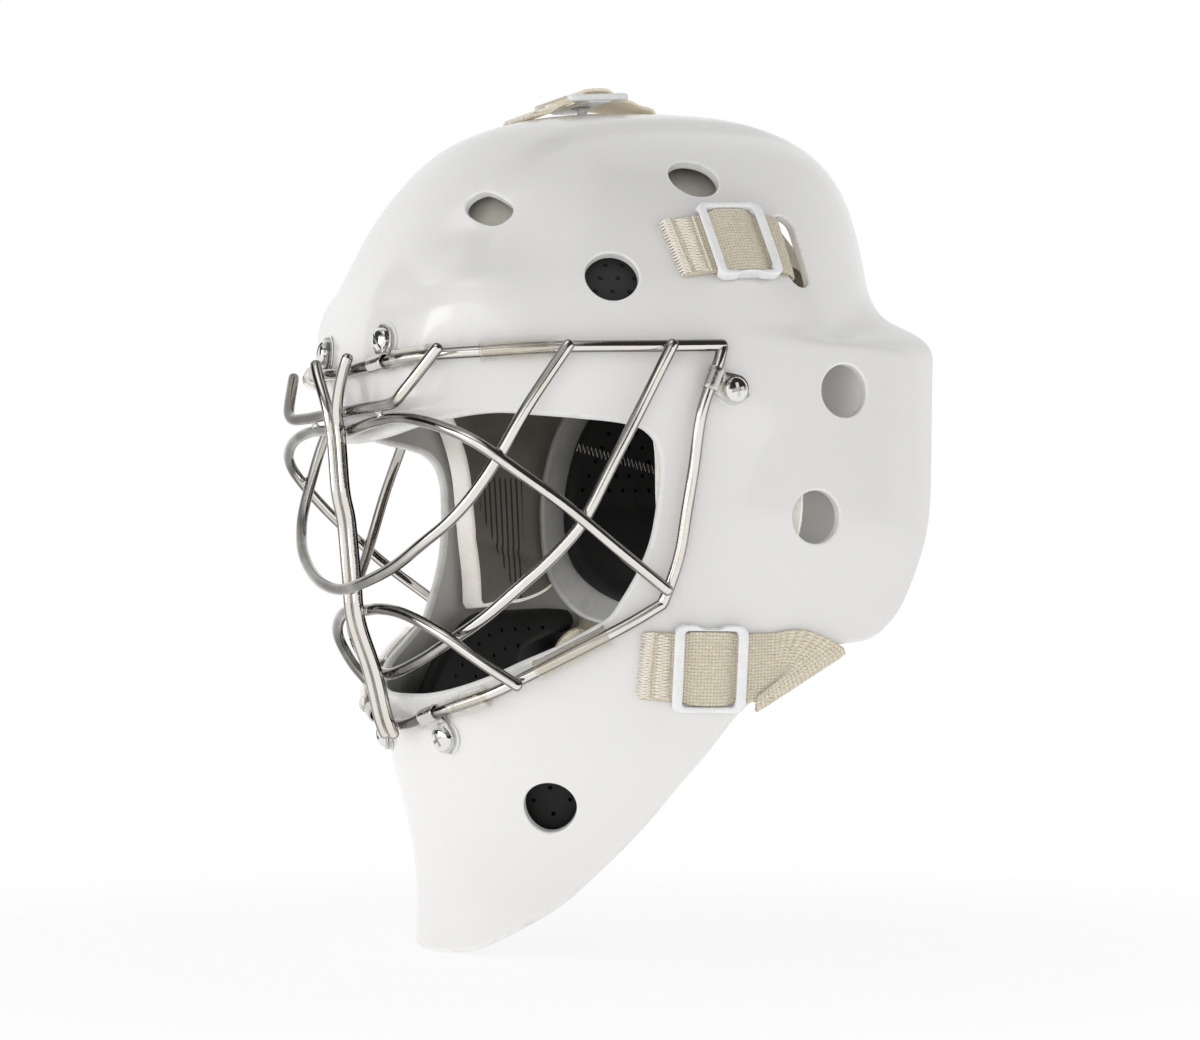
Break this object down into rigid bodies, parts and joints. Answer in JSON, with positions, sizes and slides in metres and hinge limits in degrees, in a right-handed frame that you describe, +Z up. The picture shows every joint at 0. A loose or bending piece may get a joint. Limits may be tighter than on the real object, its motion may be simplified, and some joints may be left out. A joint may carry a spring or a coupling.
{
  "type": "goalie mask",
  "caption": "White ice-hockey goalie mask: moulded shell with a wire cat-eye cage, elastic straps with slide buckles, foam pads and a hinged-on back plate.",
  "frame": {"origin": "middle of the underside of the mask's bounding box, so the chin's lowest point lies on z = 0", "axes": "+Z up and along the longest side, -Y the way the face looks, +X the wearer's left, across the shortest side"},
  "size_m": [0.2178, 0.23, 0.3387],
  "materials": {
    "shell_white": "clear-coated white laminate",
    "wire_steel": "electropolished stainless wire",
    "clear_vinyl": "clear soft vinyl tube",
    "clip_steel": "pressed stainless",
    "screw_steel": "bright nickel plate",
    "strap_beige": "woven elastic webbing",
    "buckle_white": "moulded white plastic",
    "foam_taupe": "foam with a taupe knit face",
    "foam_black": "black foam, perforated face",
    "sweatband_grey": "dark terry sweatband"
  },
  "bodies": {
    "mask_shell": {"shell": "shell_white", "cage_top_bar": "wire_steel", "cage_side_bar_left": "wire_steel", "cage_side_bar_right": "wire_steel", "cage_bottom_bar": "wire_steel", "cage_centre_bar_left": "wire_steel", "cage_centre_bar_right": "wire_steel", "cage_brow_bar": "wire_steel", "cage_upper_arch": "wire_steel", "cage_upper_u_bar": "wire_steel", "cage_lower_u_bar": "wire_steel", "cage_lower_arch": "wire_steel", "vinyl_sleeve_brow_front_left": "clear_vinyl", "vinyl_sleeve_brow_front_right": "clear_vinyl", "vinyl_sleeve_brow_rear_left": "clear_vinyl", "vinyl_sleeve_brow_rear_right": "clear_vinyl", "vinyl_sleeve_chin_front_left": "clear_vinyl", "vinyl_sleeve_chin_front_right": "clear_vinyl", "vinyl_sleeve_chin_rear_left": "clear_vinyl", "vinyl_sleeve_chin_rear_right": "clear_vinyl", "cage_clip_forehead_left": "clip_steel", "tee_nut_forehead_left": "clip_steel", "cage_screw_forehead_left": "screw_steel", "cage_clip_forehead_right": "clip_steel", "tee_nut_forehead_right": "clip_steel", "cage_screw_forehead_right": "screw_steel", "cage_clip_temple_left": "clip_steel", "tee_nut_temple_left": "clip_steel", "cage_screw_temple_left": "screw_steel", "cage_clip_temple_right": "clip_steel", "tee_nut_temple_right": "clip_steel", "cage_screw_temple_right": "screw_steel", "cage_clip_chin_left": "clip_steel", "tee_nut_chin_left": "clip_steel", "cage_screw_chin_left": "screw_steel", "cage_clip_chin_right": "clip_steel", "tee_nut_chin_right": "clip_steel", "cage_screw_chin_right": "screw_steel", "strap_top": "strap_beige", "buckle_post_top": "buckle_white", "strap_upper_left": "strap_beige", "buckle_post_upper_left": "buckle_white", "strap_upper_right": "strap_beige", "buckle_post_upper_right": "buckle_white", "strap_lower_left": "strap_beige", "buckle_post_lower_left": "buckle_white", "strap_lower_right": "strap_beige", "buckle_post_lower_right": "buckle_white", "pad_chin_jaw": "foam_black", "pad_forehead": "sweatband_grey", "pad_crown": "foam_taupe", "pad_side_left": "foam_taupe", "pad_side_right": "foam_taupe"},
    "rear_plate": {"backplate": "shell_white", "backplate_pad": "foam_black"},
    "buckle_slide_top": {"buckle_top": "buckle_white"},
    "buckle_slide_upper_left": {"buckle_upper_left": "buckle_white"},
    "buckle_slide_upper_right": {"buckle_upper_right": "buckle_white"},
    "buckle_slide_lower_left": {"buckle_lower_left": "buckle_white"},
    "buckle_slide_lower_right": {"buckle_lower_right": "buckle_white"}
  },
  "joints": [
    {"name": "backplate_swing", "type": "hinge", "parent": "mask_shell", "child": "rear_plate", "pos_m": [0, 0.11162, 0.27492], "axis": [1, 0, 0], "range_deg": [0, 20]},
    {"name": "buckle_swivel_top", "type": "hinge", "parent": "mask_shell", "child": "buckle_slide_top", "pos_m": [0, -0.00385, 0.33133], "axis": [0, -0.1183, 0.993], "range_deg": [-3, 3]},
    {"name": "buckle_swivel_upper_left", "type": "hinge", "parent": "mask_shell", "child": "buckle_slide_upper_left", "pos_m": [0.08989, 0.01182, 0.2666], "axis": [0.8901, -0.0617, 0.4516], "range_deg": [-3, 3]},
    {"name": "buckle_swivel_upper_right", "type": "hinge", "parent": "mask_shell", "child": "buckle_slide_upper_right", "pos_m": [-0.08989, 0.01182, 0.2666], "axis": [-0.8901, -0.0617, 0.4516], "range_deg": [-3, 3]},
    {"name": "buckle_swivel_lower_left", "type": "hinge", "parent": "mask_shell", "child": "buckle_slide_lower_left", "pos_m": [0.09166, -0.00172, 0.10881], "axis": [0.9498, -0.2828, -0.1338], "range_deg": [-3, 3]},
    {"name": "buckle_swivel_lower_right", "type": "hinge", "parent": "mask_shell", "child": "buckle_slide_lower_right", "pos_m": [-0.09166, -0.00172, 0.10881], "axis": [-0.9498, -0.2828, -0.1338], "range_deg": [-3, 3]}
  ]
}
